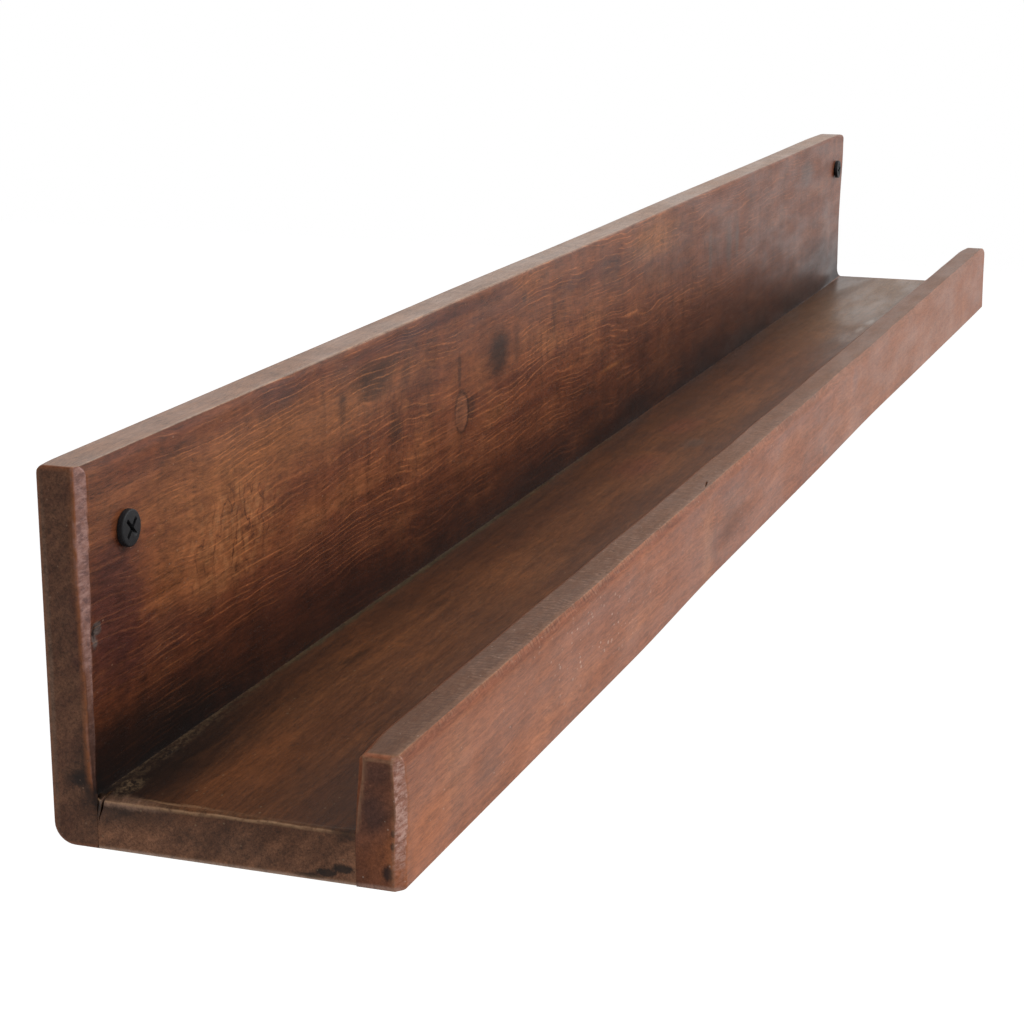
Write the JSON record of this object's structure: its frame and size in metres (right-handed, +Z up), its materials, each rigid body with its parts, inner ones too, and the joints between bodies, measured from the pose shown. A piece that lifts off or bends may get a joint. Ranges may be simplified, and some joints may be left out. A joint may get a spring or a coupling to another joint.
{
  "type": "wall shelf",
  "caption": "Long narrow picture ledge of dark hardwood boards: tall back board, flat ledge and low front lip, held to the wall by black cross-head screws.",
  "frame": {"origin": "on the wall plane (the back face of the back board), midway between the two wall screws", "axes": "+X along the shelf towards its right end, -Y out of the wall towards the room, +Z up"},
  "size_m": [0.9, 0.11, 0.1015],
  "materials": {
    "back_wood": "reddish-brown reclaimed hardwood, waxed, long orange-brown grain streaks, saw marks and knots",
    "ledge_wood": "darker olive-brown reclaimed hardwood, waxed, dusty along the inner corner",
    "lip_wood": "lighter salmon-brown reclaimed hardwood, satin, with worn edges",
    "black_screw": "matte black phosphate on a steel wood screw",
    "joint_screw": "dull zinc-plated steel wood screw",
    "dowel_wood": "pale beech dowel"
  },
  "bodies": {
    "root": {"back_board": "back_wood", "shelf_board": "ledge_wood", "front_lip": "lip_wood", "wall_screw_left": "black_screw", "wall_screw_right": "black_screw", "back_joint_screw_1": "joint_screw", "back_joint_screw_2": "joint_screw", "back_joint_screw_3": "joint_screw", "back_joint_screw_4": "joint_screw", "back_joint_screw_5": "joint_screw", "lip_dowel_1": "dowel_wood", "lip_dowel_2": "dowel_wood", "lip_dowel_3": "dowel_wood", "lip_dowel_4": "dowel_wood", "lip_dowel_5": "dowel_wood"}
  },
  "joints": []
}
